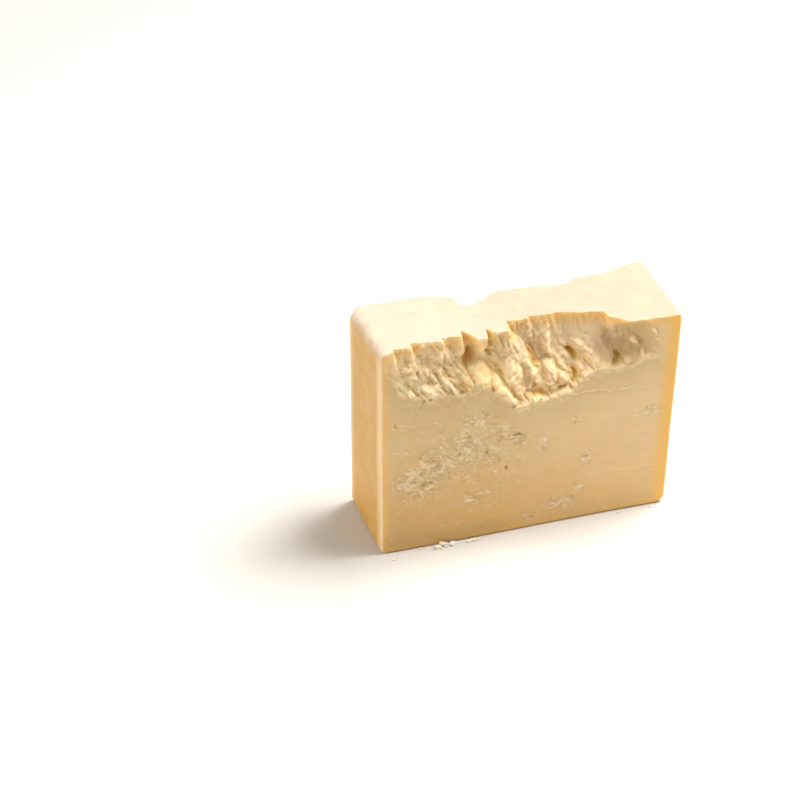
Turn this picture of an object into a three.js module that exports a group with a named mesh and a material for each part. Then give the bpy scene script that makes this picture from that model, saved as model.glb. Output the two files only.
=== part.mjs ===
// A slab of aged asiago, sliced across a rind-covered loaf and standing on its rind.
// The two large faces were cut, and along the top both of them broke away in crags.
// Millimetres, +Z up. X runs along the slab, -Y is the cut face with the large break.

import * as THREE from 'three';
import { mergeVertices } from 'three/addons/utils/BufferGeometryUtils.js';

// Size of the slab. The loaf was a little higher at the left end of the front face.
const LENGTH = 125;
const THICKNESS = 41;
const TOP_LEFT_FRONT = 94;
const TOP_RIGHT_FRONT = 88.7;
const TOP_LEFT_BACK = 91.5;
const TOP_RIGHT_BACK = 91;
const RIGHT_END_DRAFT = 3;

// Rounded corners of the loaf's section, and the worn edge between rind and cut.
const TOP_LEFT_RADIUS = 5.5;
const TOP_RIGHT_RADIUS = 1.8;
const BASE_LEFT_RADIUS = 2.5;
const BASE_RIGHT_RADIUS = 3.5;
const CUT_EDGE_RADIUS = 1.4;

// Broken rim along the top. Each step tells where the rind snapped, how much deeper the
// break is to the right of it, over what length it changes, how much longer that is
// 10 mm below the rim, and the lean of its edge in degrees.
const FRONT_STEPS = [
  { at: -57.0, deeper: 2.1, over: 0.8, spread: 8, lean: 15 },
  { at: -49.3, deeper: 2.9, over: 0.8, spread: 8, lean: 15 },
  { at: -43.0, deeper: -1.2, over: 10.0, spread: 4, lean: 20 },
  { at: -36.0, deeper: 2.5, over: 0.8, spread: 8, lean: 20 },
  { at: -31.5, deeper: -0.8, over: 6.0, spread: 4, lean: 20 },
  { at: -27.3, deeper: 4.0, over: 1.5, spread: 4, lean: 14 },
  { at: -24.0, deeper: -7.6, over: 5.0, spread: 5, lean: 27 },
  { at: -17.6, deeper: 6.8, over: 1.6, spread: 8, lean: 4 },
  { at: -15.8, deeper: -3.7, over: 2.6, spread: 7, lean: 16 },
  { at: -7.8, deeper: 7.2, over: 1.6, spread: 10, lean: 20 },
  { at: 2.0, deeper: 1.5, over: 1.0, spread: 8, lean: 20 },
  { at: 19.5, deeper: -2.4, over: 12.0, spread: 4, lean: 20 },
  { at: 29.5, deeper: -1.5, over: 8.0, spread: 4, lean: 20 },
  { at: 32.9, deeper: -4.6, over: 0.8, spread: 5, lean: 12 },
  { at: 37.5, deeper: -5.2, over: 9.0, spread: 4, lean: 10 },
];
const BACK_STEPS = [
  { at: -28.0, deeper: 3.2, over: 12.0, spread: 4, lean: -20 },
  { at: -20.8, deeper: 8.6, over: 2.6, spread: 4, lean: -20 },
  { at: -9.0, deeper: -7.0, over: 16.0, spread: 4, lean: -20 },
  { at: 17.0, deeper: 2.6, over: 16.0, spread: 4, lean: -20 },
  { at: 27.5, deeper: -3.6, over: 5.0, spread: 4, lean: -20 },
  { at: 48.0, deeper: -2.8, over: 16.0, spread: 4, lean: -20 },
];
const SPREAD_BELOW = 10;
const EDGE_SOFTENING = 1.2;

// Foot of each break, where it leaves its cut face, as x and z, with small waves along it;
// and where along X the break starts, is full, fades and ends.
const FRONT_FOOT = [
  [-61, 86], [-54, 75.5], [-45, 68.5], [-25, 71], [-17.5, 69], [-13.5, 64.8], [-8.4, 60.2],
  [3.3, 59], [11.6, 60.2], [16.6, 62.4], [21.9, 67.2], [33, 68.2], [47, 71.4], [57, 71],
];
const BACK_FOOT = [[-50, 87], [-34, 79], [-24, 77], [-15, 69], [-4, 77], [60, 79]];
const FOOT_JAG = { height: 1.0, long: 3.7, short: 1.9 };
const FRONT_SPAN = { from: -61, full: -56, fade: 47, to: 59 };
const BACK_SPAN = { from: -44, full: -30, fade: 48, to: 60 };

// Relief of the break. Scales on the left turn into knobs in the middle, under a smoother
// wall, and a shell-shaped scoop at the right. Each has a width, a stretch and a height.
const LEAN = 20;
const WALL_LEAN = 12;
const BEND = { wide: 0.8, fine: 0.4 };
const LIP_DEPTH = 1.3;
const BACK_LIP_DEPTH = 0.8;
const FOOT_SHARE = 0.07;
const FRONT_SHELF = 1.8;
const BACK_SHELF = 1.6;
const SCALES_FADE = [-30, -14];
const SCOOP_START = [31, 39];
const WALL_START = [0.45, 0.75];
const SHALLOW_RIM = [0.5, 3];
const CALM_RIM = { from: 0.88, less: 0.6 };
const CALM_BACK_RIM = { from: 0.8, less: 0.8 };
const SCALES = { width: 5.0, stretch: 1.6, height: 2.0 };
const KNOB_ROWS = { width: 5.0, stretch: 1.6, height: 2.0 };
const WALL_FOLDS = { width: 5.6, stretch: 2.8, height: 1.4 };
const BACK_KNOBS = { width: 5.6, stretch: 1.5, height: 2.2 };
const SCOOP = { x: 44.5, z: 79.5, halfWidth: 13.5, halfHeight: 10, depth: 7, upward: 0.3, leftward: 0.55 };

// Deep clefts in the front break and knobs that stand out of it, with the lean in degrees.
const CLEFTS = [
  { x: -24.4, z: 80.8, across: 2.0, along: 3.2, lean: 12, depth: 5.0 },
  { x: -16.4, z: 85.8, across: 1.8, along: 3.4, lean: 10, depth: 2.8 },
  { x: 3.6, z: 64.2, across: 3.8, along: 2.4, lean: 15, depth: 2.2 },
  { x: 18.6, z: 74.8, across: 2.3, along: 2.8, lean: 15, depth: 3.4 },
  { x: 19.6, z: 67.6, across: 2.3, along: 3.2, lean: 10, depth: 2.0 },
  { x: 14.2, z: 62.8, across: 2.2, along: 2.0, lean: 10, depth: 1.8 },
  { x: 37.3, z: 72.0, across: 2.8, along: 2.8, lean: -20, depth: 4.2 },
];
const KNOBS = [
  { x: -21.0, z: 75.6, across: 5.0, along: 4.6, lean: 10, height: 2.6 },
  { x: -11.3, z: 68.3, across: 4.2, along: 9.0, lean: 36, height: 3.0 },
  { x: -5.4, z: 70.4, across: 4.0, along: 8.0, lean: 32, height: 2.4 },
  { x: 2.4, z: 72.2, across: 3.4, along: 4.2, lean: 20, height: 1.8 },
  { x: 9.8, z: 79.6, across: 3.0, along: 7.4, lean: 11, height: 2.0 },
  { x: 9.2, z: 69.2, across: 4.0, along: 6.2, lean: 15, height: 2.0 },
  { x: 13.2, z: 65.8, across: 3.0, along: 3.6, lean: 20, height: 1.4 },
  { x: 24.6, z: 75.0, across: 3.0, along: 6.0, lean: 38, height: 1.5 },
  { x: 30.0, z: 69.4, across: 2.8, along: 5.2, lean: 58, height: 1.3 },
];
const SCOOP_ROUNDING = 1.2;

// Slow waves left by the knife on the two cuts, and where the back's own pattern starts.
const FRONT_WAVE = { height: 0.25, along: 17, lean: 23, up: 14 };
const BACK_WAVE = { height: 0.25, along: 21, lean: -19, up: 16 };
const BACK_SHIFT = 300;

// Grid of the surface, with the spacing in mm at each share of the count: close lines at the
// corners, in the notches of the rim and in the breaks.
const COLUMNS = 60;
const LAYERS = 7;
const ROWS = 36;
const columnSpacing = (u) => (u < 0.065 || u > 0.95 ? 1 : u > 0.265 && u < 0.565 ? 1.45 : 2.6);
const layerSpacing = (u) => (u < 0.14 || u > 0.86 ? 2 : 7.4);
const rowSpacing = (u) => (u < 0.08 ? 1 : u < 0.305 ? 6.4 : 1.55);

const { clamp, degToRad, lerp, smoothstep } = THREE.MathUtils;

// Positions from 0 to 1 of count + 1 lines, placed by the spacing at each share.
function gridLines(count, spacing) {
  const lines = [0];
  for (let i = 0; i < count; i += 1) {
    lines.push(lines[i] + spacing((i + 0.5) / count));
  }
  return lines.map((line) => line / lines[count]);
}

// Repeatable scatter between 0 and 1 for a pair of whole numbers.
function scatter(i, j) {
  const wave = Math.sin(i * 127.1 + j * 311.7) * 43758.5453;
  return wave - Math.floor(wave);
}

// Leaning coordinates on a broken face: across the ribs and along them.
function leaning(x, z, degrees) {
  const lean = degToRad(degrees);
  const across = x * Math.cos(lean) + z * Math.sin(lean);
  const along = x * Math.sin(lean) - z * Math.cos(lean);
  return { across, along };
}

// Coordinates bent by waves, so that no row of knobs is straight.
function bent(x, z) {
  const wideX = BEND.wide * Math.sin(z / 3.1 + 1.3 * Math.sin(x / 7.3));
  const wideZ = BEND.wide * Math.sin(x / 2.7 + 1.1 * Math.sin(z / 6.1));
  const fineX = BEND.fine * Math.sin(x / 1.9 + z / 2.3);
  const fineZ = BEND.fine * Math.sin(z / 2.1 - x / 1.7);
  return [x + wideX + fineX, z + wideZ + fineZ];
}

// Crowded chunks of uneven size. Each jittered centre of a leaning grid carries a cone with
// a rounded tip, turned and drawn out by its own scatter, and the highest cone counts.
function chunks(x, z, lean, { width, stretch, height }) {
  const { across, along } = leaning(x, z, lean);
  const u = across / width;
  const v = along / (width * stretch);
  const column = Math.floor(u);
  const row = Math.floor(v);
  let highest = -Infinity;
  for (let i = column - 1; i <= column + 1; i += 1) {
    for (let j = row - 1; j <= row + 1; j += 1) {
      const du = u - i - scatter(i, j);
      const dv = v - j - scatter(i + 57, j + 113);
      const turn = Math.PI * scatter(i + 31, j + 17);
      const thin = 1.3 * (du * Math.cos(turn) + dv * Math.sin(turn));
      const wide = 0.8 * (dv * Math.cos(turn) - du * Math.sin(turn));
      const cone = 0.2 - 1.1 * Math.sqrt(thin ** 2 + wide ** 2 + 0.03);
      highest = Math.max(highest, cone + 0.7 * scatter(i + 19, j + 71));
    }
  }
  return height * highest;
}

// Depth of the break under the rim: a sum of steps, which lean and soften on the way down.
function rimRecess(x, below, steps) {
  let depth = 0;
  for (const { at, deeper, over, spread, lean } of steps) {
    const edge = at + below * Math.tan(degToRad(lean));
    const half = (over + EDGE_SOFTENING + spread * (below / SPREAD_BELOW) ** 2) / 2;
    depth += deeper * smoothstep(x, edge - half, edge + half);
  }
  return depth;
}

// Height of the foot of a break: straight runs between its points, and two small waves.
function footHeight(x, foot) {
  const at = clamp(x, foot[0][0], foot.at(-1)[0]);
  const next = Math.max(1, foot.findIndex(([footX]) => footX >= at));
  const [fromX, fromZ] = foot[next - 1];
  const [toX, toZ] = foot[next];
  const jagged = Math.sin(x / FOOT_JAG.long) + 0.6 * Math.sin(x / FOOT_JAG.short + 1);
  return lerp(fromZ, toZ, (at - fromX) / (toX - fromX)) + FOOT_JAG.height * jagged;
}

function spanShare(x, { from, full, fade, to }) {
  return smoothstep(x, from, full) * (1 - smoothstep(x, fade, to));
}

// Shell-shaped hollow under the rim at the right, deepest towards its upper left.
function scoopDepth(x, z) {
  const u = (x - SCOOP.x) / SCOOP.halfWidth;
  const v = (z - SCOOP.z) / SCOOP.halfHeight;
  const bowl = Math.max(0, 1 - u * u - v * v) ** SCOOP_ROUNDING;
  return SCOOP.depth * bowl * (1 + SCOOP.upward * v - SCOOP.leftward * u);
}

// Sum of the leaning, bell-shaped clefts.
function cleftDepth(x, z) {
  let depth = 0;
  for (const cleft of CLEFTS) {
    const { across, along } = leaning(x - cleft.x, z - cleft.z, cleft.lean);
    depth += cleft.depth * Math.exp(-((across / cleft.across) ** 2) - (along / cleft.along) ** 2);
  }
  return depth;
}

// Highest of the leaning knobs, each a shallow cap over an ellipse.
function knobHeight(x, z) {
  let height = 0;
  for (const knob of KNOBS) {
    const { across, along } = leaning(x - knob.x, z - knob.z, knob.lean);
    const ball = 1 - (across / knob.across) ** 2 - (along / knob.along) ** 2;
    height = Math.max(height, knob.height * ball);
  }
  return height;
}

// Share of the way up a break: 0 at its foot, 1 at the rim.
function breakRise(z, foot, top) {
  return clamp((z - foot) / (top - foot), 0, 1);
}

// Share of the relief that is left near the rim.
function calmShare(rise, { from, less }) {
  return 1 - less * smoothstep(rise, from, 1);
}

function cutWave(x, z, { height, along, lean, up }) {
  return height * (1 + Math.sin(x / along + z / lean) * Math.cos(z / up));
}

// How far the front face lies behind the plane of the cut. From its foot the break runs
// in over a shelf and up a wall to the rim.
function frontDepth(x, z, top) {
  const left = 1 - smoothstep(x, ...SCALES_FADE);
  const right = smoothstep(x, ...SCOOP_START);
  const middle = (1 - left) * (1 - right);
  const [bentX, bentZ] = bent(x, z);
  const rise = breakRise(z, footHeight(x, FRONT_FOOT), top);
  const broken = spanShare(x, FRONT_SPAN) * smoothstep(rise, 0, FOOT_SHARE);
  const rim = rimRecess(x, top - z, FRONT_STEPS);
  const scales = chunks(x, z, LEAN, SCALES);
  const knobs = chunks(bentX, bentZ, LEAN, KNOB_ROWS);
  const folds = chunks(x, z, WALL_LEAN, WALL_FOLDS);
  const lumps = left * scales + middle * lerp(knobs, folds, smoothstep(rise, ...WALL_START));
  const relief = lumps * lerp(0.5, 1, smoothstep(rim, ...SHALLOW_RIM)) * calmShare(rise, CALM_RIM);
  const lip = LIP_DEPTH * (1 - right / 2) * (1 - rise);
  const shelf = rim * (1 - (1 - rise) ** FRONT_SHELF);
  const inward = lip + shelf - relief + scoopDepth(x, z) - knobHeight(bentX, bentZ);
  const hollow = Math.max(0, inward) + cleftDepth(bentX, bentZ);
  return cutWave(x, z, FRONT_WAVE) + broken * hollow;
}

// How far the back face lies in front of the plane of its cut.
function backDepth(x, z, top) {
  const [bentX, bentZ] = bent(x + BACK_SHIFT, z);
  const rise = breakRise(z, footHeight(x, BACK_FOOT), top);
  const broken = spanShare(x, BACK_SPAN) * smoothstep(rise, 0, FOOT_SHARE);
  const rim = rimRecess(x, top - z, BACK_STEPS);
  const relief = chunks(bentX, bentZ, -LEAN, BACK_KNOBS) * calmShare(rise, CALM_BACK_RIM);
  const lip = BACK_LIP_DEPTH * (1 - rise);
  const shelf = rim * (1 - (1 - rise) ** BACK_SHELF);
  return cutWave(x, z, BACK_WAVE) + broken * Math.max(0, lip + shelf - relief);
}

// Rounds a corner of the given radius. The two distances are from its two walls.
function roundedCorner(first, second, radius) {
  if (first >= radius || second >= radius) {
    return [first, second];
  }
  const toFirst = radius - first;
  const toSecond = radius - second;
  const pull = Math.max(toFirst, toSecond) / Math.hypot(toFirst, toSecond);
  return [radius - toFirst * pull, radius - toSecond * pull];
}

// Height of the loaf for shares along the length and through the thickness.
function loafHeight(along, through) {
  const front = lerp(TOP_LEFT_FRONT, TOP_RIGHT_FRONT, along);
  const back = lerp(TOP_LEFT_BACK, TOP_RIGHT_BACK, along);
  return lerp(front, back, through);
}

// Point of the slab for shares along the length, through the thickness and up. The top stays
// in its plane where a break moves the rim.
function slabPoint(along, through, up) {
  const top = loafHeight(along, through);
  const height = up * top;
  let fromLeft = along * LENGTH;
  let fromRight = LENGTH - fromLeft;
  let fromFront = through * THICKNESS;
  let fromBack = THICKNESS - fromFront;
  let fromBase = height;
  let fromTop = top - height;

  [fromLeft, fromFront] = roundedCorner(fromLeft, fromFront, CUT_EDGE_RADIUS);
  [fromLeft, fromBack] = roundedCorner(fromLeft, fromBack, CUT_EDGE_RADIUS);
  [fromRight, fromFront] = roundedCorner(fromRight, fromFront, CUT_EDGE_RADIUS);
  [fromRight, fromBack] = roundedCorner(fromRight, fromBack, CUT_EDGE_RADIUS);
  [fromBase, fromFront] = roundedCorner(fromBase, fromFront, CUT_EDGE_RADIUS / 2);
  [fromBase, fromBack] = roundedCorner(fromBase, fromBack, CUT_EDGE_RADIUS / 2);
  [fromLeft, fromTop] = roundedCorner(fromLeft, fromTop, TOP_LEFT_RADIUS);
  [fromRight, fromTop] = roundedCorner(fromRight, fromTop, TOP_RIGHT_RADIUS);
  [fromLeft, fromBase] = roundedCorner(fromLeft, fromBase, BASE_LEFT_RADIUS);
  [fromRight, fromBase] = roundedCorner(fromRight, fromBase, BASE_RIGHT_RADIUS);

  const leftHalf = along < 0.5;
  const lowerHalf = up < 0.5;
  const frontHalf = through < 0.5;
  const z = lowerHalf ? fromBase : top - fromTop;
  const draft = RIGHT_END_DRAFT * along * (1 - z / top);
  const x = (leftHalf ? fromLeft : LENGTH - fromRight) - LENGTH / 2 - draft;
  const share = (frontHalf ? fromFront : THICKNESS - fromBack) / THICKNESS;
  const front = -THICKNESS / 2 + frontDepth(x, z, top);
  const back = THICKNESS / 2 - backDepth(x, z, top);
  const y = lerp(front, back, share);
  const topThere = loafHeight(along, y / THICKNESS + 0.5);
  return new THREE.Vector3(x, y, z * (topThere / top));
}

// The slab is a box whose surface grid is carried to the points of the cheese.
function slabGeometry() {
  const columns = gridLines(COLUMNS, columnSpacing);
  const layers = gridLines(LAYERS, layerSpacing);
  const rows = gridLines(ROWS, rowSpacing);
  const box = new THREE.BoxGeometry(1, 1, 1, COLUMNS, LAYERS, ROWS);
  box.deleteAttribute('normal');
  box.deleteAttribute('uv');
  const geometry = mergeVertices(box);
  const position = geometry.attributes.position;
  for (let i = 0; i < position.count; i += 1) {
    const column = Math.round((position.getX(i) + 0.5) * COLUMNS);
    const layer = Math.round((position.getY(i) + 0.5) * LAYERS);
    const row = Math.round((position.getZ(i) + 0.5) * ROWS);
    const point = slabPoint(columns[column], layers[layer], rows[row]);
    position.setXYZ(i, point.x, point.y, point.z);
  }
  geometry.computeVertexNormals();
  return geometry;
}

const paste = new THREE.MeshStandardMaterial({ color: 0xf0d7a4, roughness: 0.55, metalness: 0 });
const cheese = new THREE.Mesh(slabGeometry(), paste);
cheese.name = 'cheese';

const part = new THREE.Group();
part.add(cheese);

export default part;
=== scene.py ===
"""Slab of aged asiago: the look of one cut slice of a rind-covered loaf cheese.

The slab is one closed surface, worked out on the grid of a box, and the loose
crumbs at its foot are a second piece. Shapes are worked out in millimetres and
stored in metres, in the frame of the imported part.
"""
import math

import bpy
import numpy as np
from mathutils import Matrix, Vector


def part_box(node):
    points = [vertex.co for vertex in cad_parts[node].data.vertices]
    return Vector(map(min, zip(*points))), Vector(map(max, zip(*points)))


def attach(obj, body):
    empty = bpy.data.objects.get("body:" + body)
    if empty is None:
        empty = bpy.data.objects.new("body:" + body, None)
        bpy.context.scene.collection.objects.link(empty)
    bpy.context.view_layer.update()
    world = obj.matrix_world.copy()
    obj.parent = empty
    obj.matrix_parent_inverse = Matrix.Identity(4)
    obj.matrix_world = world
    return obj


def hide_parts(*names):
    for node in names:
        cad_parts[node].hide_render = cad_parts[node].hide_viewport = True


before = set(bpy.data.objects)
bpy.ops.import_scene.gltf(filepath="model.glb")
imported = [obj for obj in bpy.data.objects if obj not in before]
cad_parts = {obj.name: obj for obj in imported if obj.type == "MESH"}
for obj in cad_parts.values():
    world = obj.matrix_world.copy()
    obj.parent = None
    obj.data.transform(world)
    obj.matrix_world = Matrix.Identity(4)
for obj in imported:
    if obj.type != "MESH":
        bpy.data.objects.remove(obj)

bl_info = {
    "name": "Asiago slab",
    "version": (1, 0, 0),
    "blender": (4, 5, 0),
    "location": "View3D > Sidebar > Asiago",
    "description": "Builds a broken slab of aged asiago, its crumbs and a plain stage",
    "category": "Add Mesh",
}

MM = 0.001
SLAB_LOW, SLAB_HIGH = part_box("cheese")
SLAB_SIZE = SLAB_HIGH - SLAB_LOW

# Broken rim along the top: where the rind snapped along X, how much deeper the
# break is to the right of that place, over what length it changes, how much longer
# that is 10 mm below the rim, and the lean of the edge in degrees.
FRONT_STEPS = (
    (-57, 2.1, 0.8, 8, 15), (-49.3, 2.9, 0.8, 8, 15), (-43, -1.2, 10, 4, 20), (-36, 2.5, 0.8, 8, 20),
    (-31.5, -0.8, 6, 4, 20), (-27.3, 4, 1.5, 4, 14), (-24, -7.6, 5, 5, 27), (-17.6, 6.8, 1.6, 8, 4),
    (-15.8, -3.7, 2.6, 7, 16), (-7.8, 7.2, 1.6, 10, 20), (2, 1.5, 1, 8, 20), (19.5, -2.4, 12, 4, 20),
    (29.5, -1.5, 8, 4, 20), (32.9, -4.6, 0.8, 5, 12), (37.5, -5.2, 9, 4, 10),
)
BACK_STEPS = (
    (-28, 3.2, 12, 4, -20), (-20.8, 8.6, 2.6, 4, -20), (-9, -7, 16, 4, -20), (17, 2.6, 16, 4, -20),
    (27.5, -3.6, 5, 4, -20), (48, -2.8, 16, 4, -20),
)

# Foot of each break, where it leaves its cut face, as x and z; and where along X
# the break starts, is full, fades and ends.
FRONT_FOOT = ((-61, 86), (-54, 75.5), (-45, 68.5), (-25, 71), (-17.5, 69), (-13.5, 64.8),
              (-8.4, 60.2), (3.3, 59.0), (11.6, 60.2), (16.6, 62.4), (21.9, 67.2), (33, 68.2),
              (47, 71.4), (57, 71))
BACK_FOOT = ((-50, 87), (-34, 79), (-24, 77), (-15, 69), (-4, 77), (60, 79))
FRONT_SPAN = (-61, -56, 47, 59)
BACK_SPAN = (-44, -30, 48, 60)

# Places along X where one kind of relief gives way to the next, from start to end, and
# shares of the way up the front break: its lip, the end of what stands proud of the cut,
# the start of its wall, and its calm rim.
RIBS_END = (-30, -14)
SCOOP_STARTS = (31, 39)
CHIPPING_STARTS = (-19, -15)
CHIPPING_ENDS = (3, 9)
LIP = (0, 0.035)
PROUD_ENDS = (0.2, 0.6)
WALL_STARTS = (0.45, 0.75)
RIM_STARTS = (0.88, 1)

# Lean of the knobs and of the wall's folds as shares of the lean of the ribs, how far relief
# is calmed at the rim and where the rim lies near its cut, and how steep the breaks rise.
SLANT, UPRIGHT = 1.75, 0.6
RIM_CALM, CHIPPED_CALM = 0.5, 0.3
NEAR_CUT = (0.5, 3)
NEAR_CUT_SHARE = 0.5
FRONT_RISE, BACK_RISE = 1.8, 1.6
BACK_LIP = (0, 0.05)
BACK_LIP_SHARE = 0.6
BACK_RIM_STARTS = (0.8, 1)
BACK_RIM_CALM = 0.8

# Share of the fine crumb on each kind of relief, and how ragged outlines are.
CRUMB_ON = {"flutes": 0.6, "scales": 0.8, "knobs": 0.9, "folds": 0.3, "chipped": 0.6, "scoop": 0.2}
GRAIN_LEAST, GRAIN_HEIGHT = 0.3, 2.0
RAGGED_CLEFTS, RAGGED_KNOBS, RAGGED_CHIPS = 1.3, 1.0, 0.8
LIP_LESS_AT_SCOOP, LEAST_PROUD = 0.5, 0.01

# Shifts along X to another part of the scatter, and distances that count as far off.
FRAY_SHIFT, BACK_SHIFT = 40, 300
FAR, FAR_BELOW = 9.0, 99.0

# Fine marks on the front cut: leans in radians; how high a chunk is that shows as a scab, how
# much less where the cut is torn, and over what height it rises; heights, depths and places
# of scabs and of the slots beside flakes; and the depth or height, place and reach of a seam's sides.
SCAB_LEAN, LUMP_LEAN, SEAM_LEAN = 0.8, 0.5, 1.2
SCAB_LEAST, SCAB_LESS_IF_TORN, SCAB_RISE = 0.45, 0.35, (0, 0.3)
SCAB_HEIGHT, HOLE_DEPTH, HOLE_ABOVE = 0.3, 0.35, 0.8
TORN_SHOWS = (0.05, 0.6)
FLAKE_HEIGHT, SLOT_DEPTH, SLOT_ACROSS, SLOT_REACH = 0.35, 0.3, 1.7, 0.8
SEAM_GROOVE, SEAM_FLAP, SEAM_LEAST = (0.18, -0.5, 0.4), (0.2, 0.3, 0.5), 0.6

# Layers of relief: the height of each, and the width and the stretch of its chunks or flakes.
RELIEF = {
    "foot_knobs": (1.2, 3.4, 1.4), "foot_flakes": (1.0, 1.9, 1.4), "crumb_knobs": (0.6, 1.5, 1.4),
    "crumb_flakes": (0.4, 1.0, 1.3), "flute_ribs": (1.0, 4.4, 2.6), "flute_threads": (1.2, 2.0, 3.4),
    "scale_ribs": (1.6, 5.0, 1.6), "scale_knobs": (1.6, 2.2, 2.2), "scale_flakes": (0.6, 1.6, 2.2),
    "shelf_lumps": (1.1, 5.0, 1.6), "shelf_knobs": (0.8, 2.4, 1.7), "wall_folds": (0.7, 7.0, 2.8),
    "wall_threads": (0.9, 1.7, 5.5), "wall_flakes": (0.6, 1.8, 3.4), "scoop_flakes": (0.3, 4.5, 1.4),
    "scoop_grains": (1.0, 3.2, 1.3), "back_foot": (1.6, 2.6, 1.4), "back_lumps": (2.2, 5.6, 1.5),
    "back_knobs": (1.1, 2.6, 1.8), "back_flakes": (0.4, 1.4, 1.5), "outline_frays": (1.0, 1.9, 1.4),
    "skin_knobs": (1.0, 1.6, 1.5), "scabs": (1.0, 1.9, 1.6), "tear_lumps": (0.45, 3.8, 1.3),
    "seam_flakes": (1.0, 2.5, 1.0),
}

# Scoop at the right of the front break: its middle, half sizes and depth, how much deeper it
# gets upwards and to the left, and the power that rounds its edge; and its faint rings.
SCOOP_X, SCOOP_Z = 44.5, 79.5
SCOOP_HALF_WIDTH, SCOOP_HALF_HEIGHT, SCOOP_DEPTH = 13.5, 10, 7.0
SCOOP_UPWARD, SCOOP_LEFTWARD, SCOOP_ROUNDING = 0.3, 0.55, 1.2
RINGS_X, RINGS_Z, RINGS_STRETCH, RINGS_PITCH, RINGS_HEIGHT = 60, 90, 1.3, 1.3, 0.14

# Slow wave of each cut: its height, its lengths along X and Z, and that of its second wave up Z.
FRONT_WAVE = (0.25, 17, 23, 14)
BACK_WAVE = (0.25, 21, -19, 16)

# Deep clefts in the front break and knobs that stand out of it: x, z, reach across,
# reach along, lean in degrees, and depth or height; of a knob also how calm its skin is.
CLEFTS = (
    (-24.2, 82, 1.5, 2.2, 12, 6.2), (-16.4, 85.8, 1, 3.4, 10, 3.8), (-34, 78, 3, 4, 20, 1.6),
    (3.2, 77, 3.2, 6, 14, 2.4), (4.2, 62.6, 3.8, 2.6, 10, 2.6), (18.6, 74.8, 1.3, 2.4, 15, 4.6),
    (19.6, 67.6, 1.4, 3.2, 10, 2.6), (14.2, 62.8, 1.5, 1.3, 10, 2.6), (37.3, 72, 2.3, 2.4, -20, 4.8),
    (35.5, 68.6, 0.9, 2.2, -25, 2.2),
)
KNOBS = (
    (-49.5, 71.6, 2.2, 3.5, 35, 1.8, 0), (-45.2, 70.2, 2.4, 3, 30, 1.8, 0),
    (-26.6, 73.6, 2.4, 5, 15, 2.2, 0.2), (-21, 73.2, 5.2, 6.6, 8, 3.2, 0.85),
    (-9.8, 69.2, 2, 7, 34, 2.4, 0.5), (-12, 67.8, 3.3, 8.6, 35, 4.2, 0.7),
    (-7.2, 71.4, 3.5, 10, 31, 3.3, 0.5), (-10.6, 62.8, 2, 2, 0, 1.4, 0.4),
    (-7.8, 60.8, 2.4, 1.8, 0, 1.4, 0.6), (-2.6, 62.6, 2.8, 2.2, 40, 1.4, 0.4),
    (5, 62.6, 2.6, 4.5, 80, 0.2, 0.8), (1.2, 71.2, 2.1, 3.8, 18, 2.6, 0.2),
    (9.8, 79.6, 1.9, 7, 11, 2.8, 0.3), (8.6, 69.4, 2.3, 4.8, 15, 2.8, 0.2),
    (13.2, 65.8, 2.2, 3, 20, 2, 0), (14.6, 69.4, 1.8, 2.8, 20, 1.6, 0.2),
    (21.8, 78.4, 1.9, 3, 28, 1.7, 0), (24.6, 75, 2, 3.4, 38, 1.9, 0),
    (27.6, 71.4, 2.1, 3.2, 46, 1.9, 0), (31.4, 69.2, 1.7, 3.4, 62, 1.6, 0),
    (33.8, 68, 1.2, 2.2, 60, 1.3, 0), (30.6, 77, 3.4, 9, 32, 0, 0.85),
)

# Small pale chips in the scoop, given like the knobs.
CHIPS = (
    (44.5, 77.3, 1.7, 1.7, 0, 1.1, 0.5), (46.8, 72.8, 1.6, 0.9, 60, 0.8, 0.5),
    (38.6, 78.8, 1.3, 3.4, 75, 0.3, 0.5), (51.8, 82, 1.2, 2.4, 35, 1, 0.5),
    (53, 78.8, 1.2, 0.8, 40, 0.7, 0.5), (57.4, 80.5, 0.8, 2, 10, 0.7, 0.5),
    (57, 76.2, 0.8, 1.4, 0, 0.6, 0.5), (56.6, 72.6, 0.8, 1.2, 20, 0.6, 0.5),
)

# Fine marks on the front cut. Seams run from x, z to x, z with a strength; torn patches have a
# centre, two reaches and a strength; flakes stand up, with a centre, a half length, a half
# width and a lean in degrees; pits are small clefts.
SEAMS = (
    (7, 61.6, 56, 57.6, 1), (31, 43.2, 56.5, 45.6, 0.5), (26, 21.6, 58, 19.2, 0.6),
    (-57, 60, -38, 57.4, 0.35), (-61.5, 48.8, -45, 45.4, 0.35),
)
TORN = (
    (-26, 40.5, 26, 18, 0.38), (-47.4, 25.4, 11, 2.5, 0.5), (-40, 37.3, 9, 7.5, 1),
    (-51, 31.5, 7, 5, 0.8), (-43.7, 30, 4, 3.4, 1), (-22.6, 56, 8, 4.4, 0.7), (-27.8, 53, 2.4, 6, 0.75),
    (-26.8, 43.5, 7, 8, 0.7), (-17.5, 40, 4.5, 5.4, 0.65), (-12, 46.5, 3.4, 9, 0.6),
    (-5.9, 44.5, 4.4, 3.8, 0.9), (4.6, 39.2, 2.6, 5.4, 0.55), (-22, 20.4, 10, 3.6, 0.5),
    (18.5, 48.2, 3.4, 2.2, 0.5), (52.4, 46.8, 4.4, 3.2, 0.6), (23.5, 29.4, 3.2, 4.4, 0.55),
    (21.9, 16.2, 2.8, 2.6, 0.6), (14.5, 9.6, 7, 3, 0.75), (1, 5.6, 4.4, 2.4, 0.55),
)
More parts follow.
